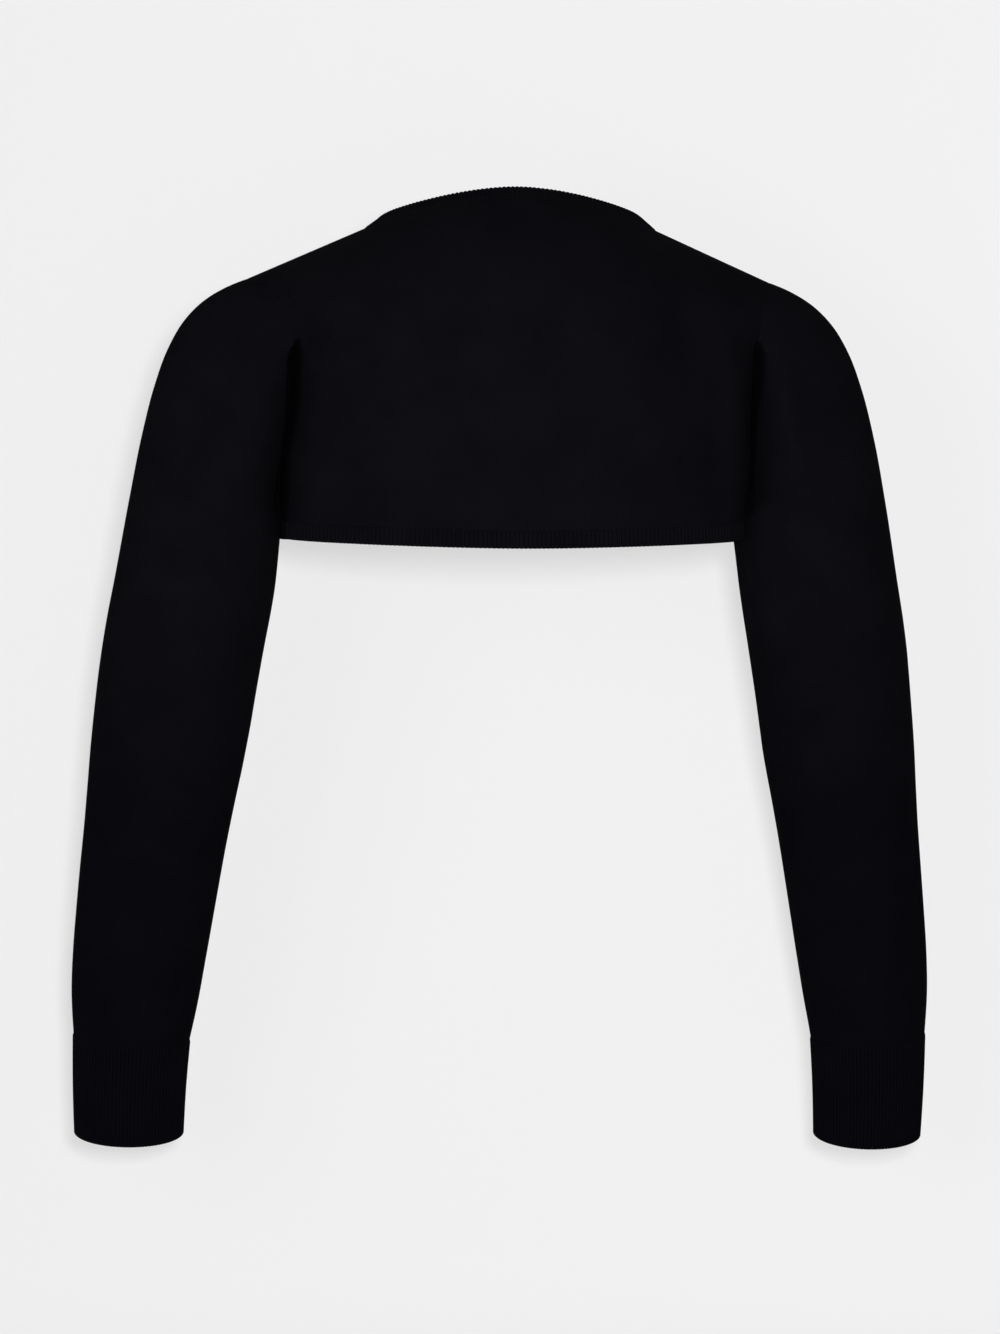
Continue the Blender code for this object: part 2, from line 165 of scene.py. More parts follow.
def slopesAt(points, closed):
    # The way a smooth curve leaves each point. An open end carries on its last bend.
    if closed:
        behind, ahead = points - np.roll(points, 1, -2), np.roll(points, -1, -2) - points
    else:
        steps = np.diff(points, axis=-2)
        behind = np.concatenate([steps[..., :1, :], steps], -2)
        ahead = np.concatenate([steps, steps[..., -1:, :]], -2)
    a, b = lengths(behind)[..., None], lengths(ahead)[..., None]
    slopes = (behind / a * b + ahead / b * a) / (a + b)
    if not closed and points.shape[-2] > 2:
        slopes[..., 0, :] = 1.5 * slopes[..., 0, :] - 0.5 * slopes[..., 1, :]
        slopes[..., -1, :] = 1.5 * slopes[..., -1, :] - 0.5 * slopes[..., -2, :]
    return slopes


def curveThrough(points, steps, closed=False, kinks=()):
    # Points on a smooth curve, with so many steps from one given point to the next.
    if kinks:
        cuts = [0, *kinks, points.shape[-2] - 1]
        runs = [curveThrough(points[..., a : b + 1, :], steps) for a, b in zip(cuts, cuts[1:])]
        return np.concatenate([runs[0]] + [run[..., 1:, :] for run in runs[1:]], -2)
    slopes = slopesAt(points, closed)
    if closed:
        ends, endSlopes = np.roll(points, -1, -2), np.roll(slopes, -1, -2)
        starts, startSlopes = points, slopes
    else:
        ends, endSlopes = points[..., 1:, :], slopes[..., 1:, :]
        starts, startSlopes = points[..., :-1, :], slopes[..., :-1, :]
    span = lengths(ends - starts)[..., None, None]
    t = (np.arange(steps) / steps)[:, None]
    fine = (
        starts[..., None, :] * (1 + 2 * t) * (1 - t) ** 2
        + ends[..., None, :] * t**2 * (3 - 2 * t)
        + span * startSlopes[..., None, :] * t * (1 - t) ** 2
        + span * endSlopes[..., None, :] * t**2 * (t - 1)
    )
    fine = fine.reshape(*points.shape[:-2], -1, 3)
    return fine if closed else np.concatenate([fine, points[..., -1:, :]], -2)


def surfaceThrough(grid, steps, closed=False, sideKinks=()):
    # A finer grid on a smooth surface through a grid, whose two sides may bend sharply at sideKinks.
    columns = curveThrough(grid, steps[0], closed).swapaxes(0, 1)
    fine = curveThrough(columns, steps[1])
    if sideKinks:
        bent = curveThrough(columns, steps[1], kinks=sideKinks)
        near = np.arange(steps[0] + 1)
        share = (1 - near / steps[0])[:, None, None] ** 2
        fine[near] += (bent[near] - fine[near]) * share
        fine[-1 - near] += (bent[-1 - near] - fine[-1 - near]) * share
    return fine.swapaxes(0, 1)


def facing(grid, closed):
    # Unit normals of a grid, pointing either way.
    if closed:
        across = np.roll(grid, -1, axis=1) - np.roll(grid, 1, axis=1)
    else:
        across = np.gradient(grid, axis=1)
    return unit(np.cross(np.gradient(grid, axis=0), across))


def outwardNormals(grid, closed, coarse, coarseNormals):
    # Unit normals of a grid, turned as the model's own normals are.
    turned = np.sign((facing(coarse, closed) * coarseNormals).sum())
    return facing(grid, closed) * turned


def withTurnRows(grid):
    # The grid with more rows close to its first and last ones, where the cloth turns in.
    places = (-cloth["seamReach"], *cloth["turnPlaces"])
    head = [grid[0] + unit(grid[1] - grid[0]) * place for place in places]
    tail = [grid[-1] + unit(grid[-2] - grid[-1]) * place for place in places]
    return np.concatenate([head, grid[1:-1], tail[::-1]])


def withTurns(grid, closed):
    grid = withTurnRows(grid)
    return grid if closed else withTurnRows(grid.swapaxes(0, 1)).swapaxes(0, 1)


def turnDrops(shape, closed, edgeDrops=cloth["turnDrops"]):
    # How far each point of such a grid turns in towards the seam.
    drops = np.zeros(shape)
    for i, drop in enumerate(edgeDrops):
        for edge in (i, -1 - i):
            drops[edge] = np.maximum(drops[edge], drop)
            if not closed:
                drops[:, edge] = np.maximum(drops[:, edge], drop)
    return drops


def pressedIn(across, drops, creases):
    # How far the troughs of a table press in each point, by its place across and down the cloth.
    places = np.stack([across, drops], axis=-1)
    depths = np.zeros(across.shape)
    end = cloth["creaseEnd"]
    for startAcross, startDrop, endAcross, endDrop, width, depth in creases:
        start = np.array([startAcross, startDrop])
        run = np.array([endAcross, endDrop]) - start
        t = np.clip((places - start) @ run / (run @ run), 0, 1)
        away = lengths(places - start - t[..., None] * run)
        wave = np.sin(math.pi * (end + (1 - 2 * end) * t))
        depths += depth * wave * np.exp(-((away / width) ** 2))
    return depths


def evened(grid, rounds, startDown, fullDown):
    # The grid with the bends across its rows eased, from some way below its top row.
    out = grid.copy()
    for _ in range(rounds):
        out[:, 1:-1] = (out[:, :-2] + 2 * out[:, 1:-1] + out[:, 2:]) / 4
    return grid + (out - grid) * risen(lengthsAlong(grid), startDown, fullDown)[..., None]


# Meshes


def gridFaces(rows, columns, closed, start, flip):
    # Faces between the points of a grid, counted from start.
    r, c = np.meshgrid(np.arange(rows - 1), np.arange(columns - (0 if closed else 1)), indexing="ij")
    n = (c + 1) % columns
    faces = np.stack([r * columns + c, r * columns + n, (r + 1) * columns + n, (r + 1) * columns + c], -1)
    faces = faces.reshape(-1, 4) + start
    return faces[:, ::-1] if flip else faces


def rimFaces(line, shift):
    # Faces between a line of points of the outer skin and the same line inside.
    return np.stack([line[:-1], line[1:], line[1:] + shift, line[:-1] + shift], -1)


def clothPiece(name, outer, inner, closed, loops, finishes):
    # A closed shell of cloth. loops counts the loops of the knit across and down at each point,
    # with one more column on a tube, for its joining line.
    rows, columns = outer.shape[:2]
    count = rows * columns
    index = np.arange(count).reshape(rows, columns)
    if closed:
        index = np.concatenate([index, index[:, :1]], axis=1)
    outside = gridFaces(rows, columns, closed, 0, False)
    inside = gridFaces(rows, columns, closed, count, True)
    rims = [rimFaces(index[0], count), rimFaces(index[-1], count)]
    if not closed:
        rims += [rimFaces(index[:, 0], count), rimFaces(index[:, -1], count)]
    faces = np.concatenate([outside, inside, *rims])
    points = np.concatenate([outer.reshape(-1, 3), inner.reshape(-1, 3)])
    mesh = bpy.data.meshes.new(name)
    mesh.from_pydata(points.tolist(), [], faces.tolist())
    for finish in finishes:
        mesh.materials.append(finish)
    slots = np.zeros(len(faces), np.int32)
    slots[len(outside) : len(outside) + len(inside)] = len(finishes) - 1
    mesh.polygons.foreach_set("material_index", slots)
    # The last column of faces of a tube reads the joining line's own count of loops.
    corners = faces.reshape(-1) % count
    uv = loops[:, :columns].reshape(-1, 2)[corners]
    if closed:
        column = (corners % columns).reshape(-1, 4)
        wraps = (column == 0) & (column == columns - 1).any(axis=1)[:, None]
        uv[wraps.reshape(-1)] = loops[:, columns][(corners // columns)[wraps.reshape(-1)]]
    layer = mesh.uv_layers.new(name="loops")
    layer.data.foreach_set("uv", uv.astype(np.float32).reshape(-1))
    shell = bmesh.new()
    shell.from_mesh(mesh)
    bmesh.ops.recalc_face_normals(shell, faces=shell.faces)
    shell.to_mesh(mesh)
    shell.free()
    mesh.shade_smooth()
    mesh.set_sharp_from_angle(angle=cloth["sharpAngle"])
    piece = bpy.data.objects.new(name, mesh)
    bpy.context.scene.collection.objects.link(piece)
    return piece


def saySize(name, grid, closed):
    # Prints the largest width and length of a grid, and its area.
    across = np.roll(grid, -1, axis=1) - grid
    if not closed:
        across = across[:, :-1]
    down = np.diff(grid, axis=0)
    area = lengths(np.cross(across[:-1], down[:, : across.shape[1]])).sum()
    print(name, "is", lengths(across).sum(1).max(), "by", lengths(down).sum(0).max(), "area", area)


def runLengths(points, closed=False):
    # The length along each row of points, as the mean of all rows.
    steps = lengths(np.diff(points, axis=1))
    if closed:
        steps = np.concatenate([steps, lengths(points[:, :1] - points[:, -1:])], axis=1)
    return np.concatenate([[0], np.cumsum(steps.mean(axis=0))])


def knitLoops(grid, closed):
    # Loops of plain knit across and down, counted up each column from its lower end.
    across = runLengths(grid, closed)
    down = lengthsAlong(grid)
    down = down[-1] - down
    if closed:
        down = np.concatenate([down, down[:, :1]], axis=1)
    waleCount = across / cloth["wale"]
    if closed:
        waleCount *= round(waleCount[-1]) / waleCount[-1]
    waleGrid = np.broadcast_to(waleCount, down.shape)
    return np.stack([waleGrid, down / cloth["course"]], axis=-1)


def dress(piece, node):
    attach(piece, "root")
    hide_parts(node)


# Materials


def newGroup(name, inputs, outputs):
    group = bpy.data.node_groups.new(name, "ShaderNodeTree")
    for kind, sockets in (("INPUT", inputs), ("OUTPUT", outputs)):
        for socketName, socketType in sockets:
            group.interface.new_socket(socketName, in_out=kind, socket_type=socketType)
    nodes = group.nodes
    return group, nodes.new("NodeGroupInput"), nodes.new("NodeGroupOutput")


def mathNode(tree, operation, first, second=None):
    node = tree.nodes.new("ShaderNodeMath")
    node.operation = operation
    for socket, value in zip(node.inputs, (first, second)):
        if isinstance(value, bpy.types.NodeSocket):
            tree.links.new(value, socket)
        elif value is not None:
            socket.default_value = value
    return node.outputs[0]


def setInputs(tree, node, inputs):
    # Sets inputs of a node by name, to values or to the sockets that feed them.
    for name, value in inputs.items():
        if isinstance(value, bpy.types.NodeSocket):
            tree.links.new(value, node.inputs[name])
        else:
            node.inputs[name].default_value = value


def addNode(tree, kind, inputs, **settings):
    node = tree.nodes.new(kind)
    for name, value in settings.items():
        setattr(node, name, value)
    setInputs(tree, node, inputs)
    return node


def multiplied(tree, colour, shade, share):
    # A colour multiplied by a shade, as far as share says.
    inputs = {"A": colour, "B": shade, "Factor": share}
    node = addNode(tree, "ShaderNodeMix", inputs, data_type="RGBA", blend_type="MULTIPLY")
    return node.outputs["Result"]


# The form of a loop of yarn, and the noise that makes the yarn uneven.
yarnShape = {
    "legRound": 0.6,  # under 1 is a broad leg of the loop with a narrow gap
    "strandRise": 0.45,  # how much of its height a strand loses at its ends
    "patches": (3.0, 0.55),  # detail and roughness of the noise
    "nap": (2.0, 0.7),
    "patchShare": 0.5,  # the part of the tone that comes from the patches
}


def makeLoopGroup():
    # Rows of V-shaped loops from a count of loops across and down.
    group, given, result = newGroup(
        "loopsOfYarn",
        [("Loops", "NodeSocketVector"), ("Lean", "NodeSocketFloat")],
        [("Height", "NodeSocketFloat"), ("Groove", "NodeSocketFloat")],
    )
    parts = group.nodes.new("ShaderNodeSeparateXYZ")
    group.links.new(given.outputs["Loops"], parts.inputs[0])
    across = mathNode(group, "SUBTRACT", mathNode(group, "FRACT", parts.outputs["X"]), 0.5)
    fromMiddle = mathNode(group, "MULTIPLY", mathNode(group, "ABSOLUTE", across), 2.0)
    leg = mathNode(group, "SINE", mathNode(group, "MULTIPLY", fromMiddle, math.pi))
    leg = mathNode(group, "POWER", leg, yarnShape["legRound"])
    lean = mathNode(group, "MULTIPLY", fromMiddle, given.outputs["Lean"])
    along = mathNode(group, "FRACT", mathNode(group, "SUBTRACT", parts.outputs["Y"], lean))
    strand = mathNode(group, "SINE", mathNode(group, "MULTIPLY", along, math.pi))
    strand = mathNode(group, "MULTIPLY", strand, yarnShape["strandRise"])
    strand = mathNode(group, "ADD", strand, 1 - yarnShape["strandRise"])
    height = mathNode(group, "MULTIPLY", leg, strand)
    group.links.new(height, result.inputs["Height"])
    # Groove is where the yarn dips between loops; the knit materials paint shade into their colour there.
    group.links.new(mathNode(group, "SUBTRACT", 1.0, height), result.inputs["Groove"])
    return group


def makeYarnGroup():
    # The yarn's uneven dye, nap and stray fibres, the same on every piece.
    group, given, result = newGroup(
        "unevenYarn",
        [("Place", "NodeSocketVector"), ("Patches", "NodeSocketFloat"), ("Nap", "NodeSocketFloat")],
        [("Tone", "NodeSocketFloat"), ("Fuzz", "NodeSocketFloat")],
    )

    def noise(scaleSocket, detail, roughness):
        node = group.nodes.new("ShaderNodeTexNoise")
        node.inputs["Detail"].default_value = detail
        node.inputs["Roughness"].default_value = roughness
        group.links.new(given.outputs["Place"], node.inputs["Vector"])
        group.links.new(scaleSocket, node.inputs["Scale"])
        return node.outputs["Fac"]

    patches = noise(given.outputs["Patches"], *yarnShape["patches"])
    nap = noise(given.outputs["Nap"], *yarnShape["nap"])
    patchTone = mathNode(group, "MULTIPLY", patches, yarnShape["patchShare"])
    napTone = mathNode(group, "MULTIPLY", nap, 1 - yarnShape["patchShare"])
    group.links.new(mathNode(group, "ADD", patchTone, napTone), result.inputs["Tone"])
    group.links.new(nap, result.inputs["Fuzz"])
    return group


loopGroup = makeLoopGroup()
yarnGroup = makeYarnGroup()


def knitMaterial(name, look):
    made = bpy.data.materials.new(name)
    made.use_nodes = True
    tree = made.node_tree
    uvMap = addNode(tree, "ShaderNodeUVMap", {}, uv_map="loops")
    place = tree.nodes.new("ShaderNodeTexCoord").outputs["Object"]
    inputs = {"Loops": uvMap.outputs["UV"], "Lean": look["lean"]}
    loops = addNode(tree, "ShaderNodeGroup", inputs, node_tree=loopGroup)
    inputs = {"Place": place, "Patches": look["patches"], "Nap": look["nap"]}
    yarn = addNode(tree, "ShaderNodeGroup", inputs, node_tree=yarnGroup)

    # The colour: the yarn's tone, with painted shade that darkens it low down, towards the cuffs, and
    # painted shade in the grooves between the loops.
    tones = addNode(tree, "ShaderNodeValToRGB", {"Fac": yarn.outputs["Tone"]})
    for stop, position, tone in zip(tones.color_ramp.elements, look["tonePlaces"], ("dark", "light")):
        stop.position = position
        stop.color = look[tone]
    height = addNode(tree, "ShaderNodeSeparateXYZ", {"Vector": place}).outputs["Z"]
    start, full = look["paintedShadeDrops"]
    inputs = {"Value": height, "From Min": -start, "From Max": -full}
    # how far the painted shade low down has come in at each point
    paintedShadeShare = addNode(tree, "ShaderNodeMapRange", inputs)
    colour = multiplied(tree, tones.outputs["Color"], look["paintedLowShade"], paintedShadeShare.outputs["Result"])
    # painted shade in the grooves between the loops
    colour = multiplied(tree, colour, look["paintedGrooveShade"], loops.outputs["Groove"])

    smoothest, roughest = look["roughness"]
    inputs = {"Value": yarn.outputs["Fuzz"], "To Min": smoothest, "To Max": roughest}
    rough = addNode(tree, "ShaderNodeMapRange", inputs)
    normal = None
    for height, kind in ((yarn.outputs["Fuzz"], "fuzz"), (loops.outputs["Height"], "loop")):
        inputs = {"Height": height, "Strength": look[kind + "Strength"], "Distance": look[kind + "Depth"]}
        bump = addNode(tree, "ShaderNodeBump", inputs)
        if normal:
            tree.links.new(normal, bump.inputs["Normal"])
        normal = bump.outputs["Normal"]
    inputs = {
        "Base Color": colour,
        "Roughness": rough.outputs["Result"],
        "Normal": normal,
        "Metallic": 0.0,
        "Specular IOR Level": look["gloss"],
        "Sheen Weight": look["sheen"],
        "Sheen Roughness": look["sheenRoughness"],
        "Sheen Tint": look["sheenColour"],
    }
    setInputs(tree, tree.nodes["Principled BSDF"], inputs)
    return made


plainLook = {
    "dark": (0.0056, 0.0053, 0.0077, 1.0),
    "light": (0.0094, 0.0088, 0.0117, 1.0),
    "tonePlaces": (0.3, 0.7),  # the yarn's tone at which it is dark and light
    # painted shade: the colour that the grooves between the loops are multiplied by
    "paintedGrooveShade": (0.45, 0.45, 0.5, 1.0),
    "paintedShadeDrops": (0.26, 0.42),  # between these drops painted shade darkens the cloth more and more, standing in for the light's fall towards the cuffs
    # painted shade: the colour that the cloth is multiplied by low down
    "paintedLowShade": (0.70, 0.69, 0.78, 1.0),
    "gloss": 0.02,
    "sheen": 0.004,
    "sheenRoughness": 0.5,
    "sheenColour": (0.55, 0.5, 0.65, 1.0),
    "roughness": (0.78, 0.95),
    "lean": 0.75,
    "patches": 26.0,
    "nap": 2200.0,
    "fuzzStrength": 0.35,
    "fuzzDepth": 0.0003,
    "loopStrength": 0.55,
    "loopDepth": 0.00035,
}
insideLook = {**plainLook, "lean": 0.0, "loopStrength": 0.7}
ribLook = {
    **plainLook,
    "lean": 0.9,
    "loopStrength": 0.6,
    "loopDepth": 0.0004,
    # painted shade in the rib's grooves, deeper than in the plain knit
    "paintedGrooveShade": (0.35, 0.35, 0.4, 1.0),
}

blackKnit = knitMaterial("blackKnit", plainLook)
blackKnitInside = knitMaterial("blackKnitInside", insideLook)
blackRib = knitMaterial("blackRib", ribLook)
print("materials made")


# The folds beside the arms

# Where an arm hangs beside the body, the cloth folds in deeply between them. Each row gives the
# drop, where the armhole is there, where the fold lies, its depth and half its width.
armFolds = {
    "back": (
        (
            (0.060, -0.1700, -0.1660, 0.000, 0.0010),
            (0.087, -0.1610, -0.1467, 0.000, 0.0012),
            (0.091, -0.1595, -0.1474, 0.024, 0.0022),
            (0.095, -0.1582, -0.1482, 0.036, 0.0040),
            (0.101, -0.1563, -0.1488, 0.040, 0.0049),
            (0.107, -0.1553, -0.1492, 0.040, 0.0048),
            (0.127, -0.1539, -0.1500, 0.040, 0.0046),
            (0.138, -0.1533, -0.1507, 0.040, 0.0040),
            (0.148, -0.1528, -0.1518, 0.038, 0.0036),
            (0.164, -0.1524, -0.1543, 0.036, 0.0028),
            (0.181, -0.1519, -0.1560, 0.038, 0.0038),
            (0.194, -0.1518, -0.1568, 0.038, 0.0050),
            (0.208, -0.1518, -0.1576, 0.038, 0.0042),
            (0.228, -0.1518, -0.1572, 0.000, 0.0030),
        ),
        (
            (0.060, 0.1700, 0.1690, 0.000, 0.0010),
            (0.087, 0.1610, 0.1647, 0.000, 0.0018),
            (0.091, 0.1595, 0.1647, 0.026, 0.0032),
            (0.095, 0.1582, 0.1646, 0.038, 0.0042),
            (0.107, 0.1553, 0.1640, 0.040, 0.0044),
            (0.127, 0.1539, 0.1628, 0.040, 0.0036),
            (0.138, 0.1533, 0.1618, 0.038, 0.0026),
            (0.164, 0.1524, 0.1622, 0.036, 0.0025),
            (0.181, 0.1519, 0.1613, 0.038, 0.0033),
            (0.194, 0.1518, 0.1608, 0.038, 0.0034),
            (0.208, 0.1518, 0.1595, 0.038, 0.0032),
            (0.228, 0.1518, 0.1565, 0.000, 0.0028),
        ),
    ),
    "front": (
        (
            (0.085, -0.1610, -0.1600, 0.000, 0.0070),
            (0.112, -0.1560, -0.1570, 0.010, 0.0080),
            (0.150, -0.1525, -0.1540, 0.009, 0.0060),
            (0.185, -0.1515, -0.1520, 0.000, 0.0050),
        ),
        (
            (0.082, 0.1615, 0.1600, 0.000, 0.0070),
            (0.116, 0.1555, 0.1570, 0.009, 0.0070),
            (0.155, 0.1523, 0.1545, 0.010, 0.0060),
            (0.187, 0.1515, 0.1522, 0.000, 0.0050),
        ),
    ),
    "reach": 0.042,  # how far round a fold's place the cloth moves with it
    "easing": 0.040,  # how far from the wearer's middle, front or back, the cloth moves fully
    "sleeveHeld": (0.208, 0.188),  # going up between these drops, a sleeve joins in the folds
}

# How the back stands out beside the folds.
foldLips = {
    "lips": ((-0.141, 0.0025, 0.012), (0.151, 0.0060, 0.012)),  # where, how far and how widely
    "drops": (0.070, 0.105, 0.180, 0.225),  # where they start, are full, start to end and have ended
    "fore": (0.010, -0.030),  # going back between these places, they rise
}

# How the fronts swell beside the arms, so that no light shows past them.
sideSwell = {"fore": 0.037, "drop": 0.204, "out": 0.152, "reach": (0.030, 0.030, 0.036), "rise": 0.0030}


def foldedIn(points, onSleeve=False):
    # The points, moved into the folds beside the arms.
    out = points.copy()
    drop = -points[..., 2]
    grip = risen(drop, *armFolds["sleeveHeld"]) if onSleeve else 1
    for panel, way in (("back", 1), ("front", -1)):
        for fold in armFolds[panel]:
            drops, *columns = np.array(fold).T
            hole, place, depth, half = (np.interp(drop, drops, column) for column in columns)
            share = risen(way * out[..., 1], armFolds["easing"], -armFolds["easing"])
            inside = (drop > drops[0]) & (drop < drops[-1])
            near = np.clip(1 - ((out[..., 0] - hole) / armFolds["reach"]) ** 2, 0, 1) ** 2
            out[..., 0] += np.where(inside, (place - hole) * near * share, 0) * grip
            deep = depth * np.clip(1 - np.abs(out[..., 0] - place) / half, 0, 1)
            out[..., 1] += way * deep * share * grip
    start, full, end, gone = foldLips["drops"]
    tall = risen(drop, start, full) * risen(drop, gone, end)
    behind = risen(points[..., 1], *foldLips["fore"])
    for place, rise, width in foldLips["lips"]:
        out[..., 1] -= rise * np.exp(-(((out[..., 0] - place) / width) ** 2)) * tall * behind
    if not onSleeve:
        for side in sides.values():
            centre = np.array([side * sideSwell["out"], sideSwell["fore"], -sideSwell["drop"]])
            away = lengths((points - centre) / sideSwell["reach"])
            out[..., 0] += side * sideSwell["rise"] * risen(away, 1, 0)
    return out


# Plain knit


def mirroredPoint(point, side):
    return Vector((point[0] * sides[side], point[1], point[2]))


def fromEdges(grid, reach):
    # 0 on the grid's edges and 1 from `reach` inside them, so that seams keep their line.
    def share(points):
        down = lengthsAlong(points)
        return np.clip(np.minimum(down, down[-1] - down) / reach, 0, 1)

    return risen(share(grid) * share(grid.swapaxes(0, 1)).T, 0, 1)


def knitPiece(name, fine, away, pressed, closed):
    # A piece of plain knit on a grid, with so much pressed in at each point.
    line = fine - away * pressed[..., None]
    outer = line - away * turnDrops(fine.shape[:2], closed)[..., None]
    inner = line - away * cloth["knitWall"]
    return clothPiece(name, outer, inner, closed, knitLoops(fine, closed), [blackKnit, blackKnitInside])


def knitPanel(name, grid, normals, spec, creases):
    # A panel with four edges. Gives its piece, its grid and the grid's normals.
    fine = surfaceThrough(grid, spec["steps"], sideKinks=(spec["underarmRow"],))
    fine = foldedIn(withTurns(evened(fine, *spec["easing"]), False))
    away = outwardNormals(fine, False, grid, normals)
    pressed = pressedIn(fine[..., 0], -fine[..., 2], creases) * fromEdges(fine, cloth["creaseFree"])
    return knitPiece(name, fine, away, pressed, False), fine, away


# The back

back = {
    "start": (0.178, -0.002, -0.044),  # the right shoulder point, where its rows start
    "steps": (12, 8),  # finer cells for each of the model's, across and down
    "shoulderCells": 5,  # columns of the model's grid from the shoulder point to the neck
    "underarmRow": 12,  # where the sides of the model's grid bend
    "easing": (150, 0.004, 0.016),  # rounds of easing, and where it starts and is full, down the cloth
    "flat": (0.452, 0.241),
    "area": 0.0930,
    # from out, drop, to out, drop, width, depth
    "creases": (
        (-0.150, 0.075, -0.060, 0.110, 0.016, 0.0010),
        (0.146, 0.082, 0.050, 0.104, 0.015, 0.0009),
        (-0.135, 0.115, -0.110, 0.200, 0.013, 0.0012),
        (0.132, 0.120, 0.116, 0.205, 0.014, 0.0010),
        (-0.060, 0.150, -0.045, 0.215, 0.018, 0.0007),
        (0.030, 0.140, 0.052, 0.212, 0.020, 0.0008),
        (-0.020, 0.030, 0.045, 0.040, 0.012, 0.0006),
        (0.118, 0.060, 0.128, 0.095, 0.010, -0.0008),
    ),
}

backGrid, backNormals = nodeGrid("back", back["start"], Vector((-1, 0, 0)))
backPiece, backFine, backAway = knitPanel("back_cloth", backGrid, backNormals, back, back["creases"])
dress(backPiece, "back")
saySize("the back", backFine, False)
print("back made")


# The fronts

front = {
    "start": (0.101, -0.012, -0.0105),  # the side of the neck
    "steps": (8, 8),
    "underarmRow": 12,
    "easing": (8, 0.004, 0.016),
    "flat": (0.0865, 0.241),
    "area": 0.0142,
    "creases": {
        "left": (
            (-0.160, 0.085, -0.120, 0.135, 0.010, 0.0012),
            (-0.150, 0.120, -0.126, 0.180, 0.009, 0.0010),
        ),
        "right": (
            (0.162, 0.080, 0.122, 0.125, 0.011, 0.0012),
            (0.149, 0.125, 0.128, 0.186, 0.009, 0.0009),
        ),
    },
}

frontCloth = {}
for side in sides:
    start = mirroredPoint(front["start"], side)
    grid, normals = nodeGrid("front_" + side, start, Vector((sides[side], 0, 0)))
    made, fine, away = knitPanel("front_cloth_" + side, grid, normals, front, front["creases"][side])
    frontCloth[side] = fine, away
    dress(made, "front_" + side)
    saySize("the front " + side, fine, False)
print("fronts made")


# The sleeves

sleeve = {
    "start": back["start"],
    "steps": (8, 8),
    "seamShifts": (0.00038, 0.00025, 0.0001),  # how far its first rows shift to close the armhole seam
    "metresPerDegree": 0.00087,  # round the sleeve, from the outside (0) over the back (90)
    "creaseFree": (0.014, 0.005),  # how far from its upper and lower ends its creases are full
    "flat": (0.37, 0.551),
    "area": 0.1485,
    # from degrees, drop, to degrees, drop, width, depth
    "creases": {
        "left": (
            (15, 0.30, 32, 0.43, 0.010, 0.0010),
            (70, 0.27, 110, 0.31, 0.009, 0.0009),
            (120, 0.34, 85, 0.40, 0.010, 0.0009),
            (40, 0.44, 62, 0.53, 0.009, 0.0010),
            (150, 0.22, 165, 0.33, 0.009, 0.0016),
            (200, 0.24, 190, 0.36, 0.009, 0.0014),
            (215, 0.205, 262, 0.245, 0.010, 0.0016),
            (285, 0.30, 330, 0.325, 0.009, 0.0011),
            (300, 0.40, 350, 0.42, 0.010, 0.0010),
            (250, 0.44, 268, 0.52, 0.009, 0.0010),
            (20, 0.515, 24, 0.553, 0.005, 0.0007),
            (58, 0.510, 55, 0.553, 0.005, 0.0009),
            (92, 0.520, 96, 0.553, 0.0045, 0.0007),
            (130, 0.505, 126, 0.553, 0.0055, 0.0010),
            (188, 0.515, 192, 0.553, 0.005, 0.0008),
            (240, 0.510, 236, 0.553, 0.005, 0.0009),
            (300, 0.515, 304, 0.553, 0.005, 0.0008),
        ),
        "right": (
            (12, 0.31, 28, 0.45, 0.010, 0.0010),
            (62, 0.255, 105, 0.285, 0.009, 0.0009),
            (126, 0.33, 92, 0.385, 0.010, 0.0010),
            (45, 0.45, 60, 0.535, 0.009, 0.0009),
            (148, 0.225, 168, 0.34, 0.009, 0.0015),
            (202, 0.235, 188, 0.35, 0.009, 0.0014),
            (212, 0.210, 266, 0.250, 0.010, 0.0015),
            (282, 0.31, 335, 0.330, 0.009, 0.0011),
            (296, 0.41, 345, 0.40, 0.010, 0.0011),
            (252, 0.45, 262, 0.53, 0.009, 0.0009),
            (14, 0.510, 18, 0.553, 0.005, 0.0008),
            (50, 0.518, 47, 0.553, 0.005, 0.0007),
            (86, 0.508, 90, 0.553, 0.005, 0.0009),
            (137, 0.515, 133, 0.553, 0.0055, 0.0008),
            (180, 0.510, 184, 0.553, 0.005, 0.0009),
            (232, 0.518, 228, 0.553, 0.0045, 0.0007),
            (310, 0.510, 314, 0.553, 0.005, 0.0009),
        ),
    },
}

for side in sides:
    start = mirroredPoint(sleeve["start"], side)
    grid, normals = nodeGrid("sleeve_" + side, start, Vector((0, -1, 0)))
    fine = withTurns(surfaceThrough(grid, sleeve["steps"], closed=True), True)
    fine[:3, :, 0] -= sides[side] * np.array(sleeve["seamShifts"])[:, None]
    fine = foldedIn(fine, True)
    away = outwardNormals(fine, True, grid, normals)
    metres = sleeve["metresPerDegree"]
    degrees = np.arange(fine.shape[1]) * 360 / fine.shape[1]
    across = np.broadcast_to(degrees * metres, fine.shape[:2])
    creases = [(a * metres, drop, b * metres, *rest) for a, drop, b, *rest in sleeve["creases"][side]]
    down = lengthsAlong(fine)
    upper, lower = sleeve["creaseFree"]
    free = np.clip(np.minimum(down / upper, (down[-1] - down) / lower), 0, 1)
    pressed = pressedIn(across, -fine[..., 2], creases) * free
    made = knitPiece("sleeve_cloth_" + side, fine, away, pressed, True)
    dress(made, "sleeve_" + side)
    saySize("the sleeve " + side, fine, True)
print("sleeves made")


# The ribs of the cuffs and the bands

rib = {
    "rise": 0.0006,
    "stations": 6,  # points across a rib
    "round": 0.55,  # under 1 is a broad rib with a narrow groove
    "course": 0.0013,  # height of a loop
}


def ribRise(counts):
    # The height of the ribs where so many of them have been passed.
    return rib["rise"] * np.abs(np.sin(math.pi * counts)) ** rib["round"]


# The cuffs

